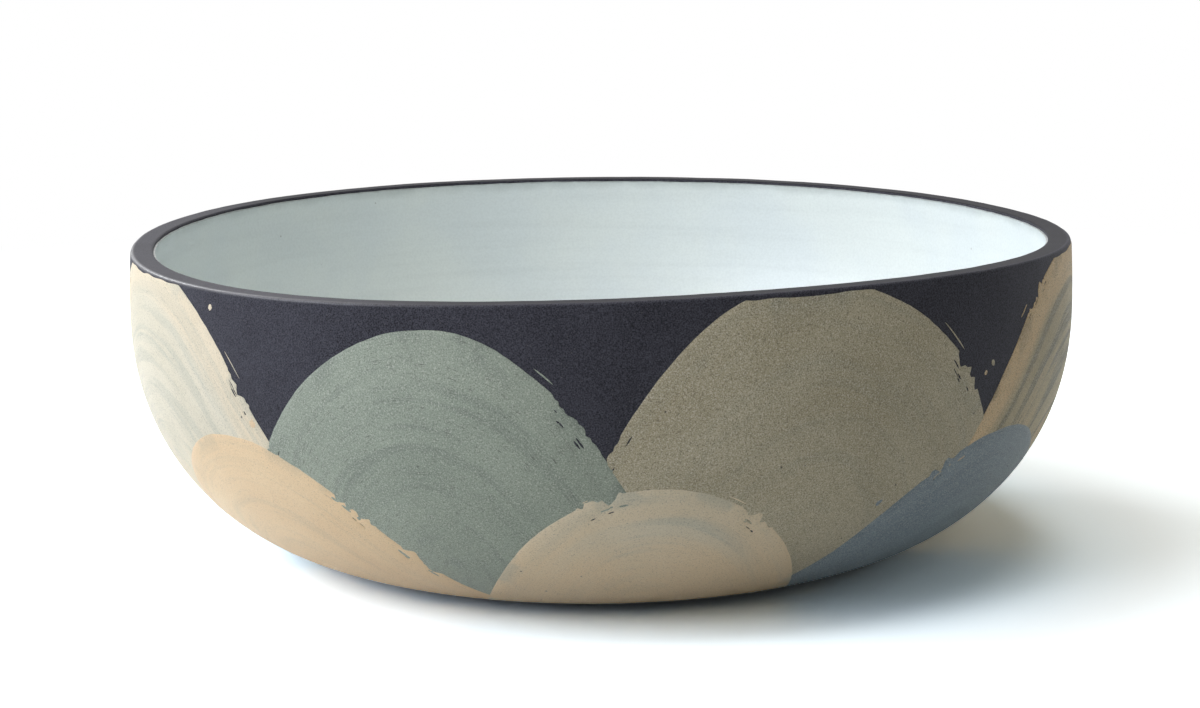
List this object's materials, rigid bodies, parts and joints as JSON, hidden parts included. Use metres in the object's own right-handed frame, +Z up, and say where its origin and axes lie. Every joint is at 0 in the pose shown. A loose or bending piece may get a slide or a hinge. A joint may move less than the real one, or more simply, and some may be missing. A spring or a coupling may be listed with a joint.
{
  "type": "bowl",
  "caption": "Wide shallow stoneware bowl with no foot ring, a level lip, a pale glaze lining and broad rounded coats of coloured slip on the outside.",
  "frame": {"origin": "centre of the flat base, on the surface the bowl stands on", "axes": "+Z up through the mouth, -Y towards the front, +X to the right seen from the front"},
  "size_m": [0.2307, 0.2305, 0.0788],
  "materials": {
    "dark_clay": "bare fired clay, sanded matt",
    "pale_glaze": "smooth pale glaze, soft gloss",
    "slip_blue": "brushed slip, satin matt",
    "slip_khaki": "brushed slip, satin matt",
    "slip_peach": "brushed slip, satin matt",
    "slip_sage": "brushed slip, satin matt",
    "slip_sand": "brushed slip, satin matt",
    "slip_taupe": "brushed slip, satin matt"
  },
  "bodies": {
    "root": {"clay_body": "dark_clay", "liner_glaze": "pale_glaze", "slip_low_1_peach": "slip_peach", "slip_low_2_blue": "slip_blue", "slip_low_3_khaki": "slip_khaki", "slip_low_4_sand": "slip_sand", "slip_low_5_peach": "slip_peach", "slip_low_6_blue": "slip_blue", "slip_low_7_sage": "slip_sage", "slip_tall_1_taupe": "slip_taupe", "slip_tall_2_sand": "slip_sand", "slip_tall_3_sage": "slip_sage", "slip_tall_4_sage": "slip_sage", "slip_tall_5_khaki": "slip_khaki", "slip_tall_6_taupe": "slip_taupe", "slip_tall_7_sand": "slip_sand"}
  },
  "joints": []
}
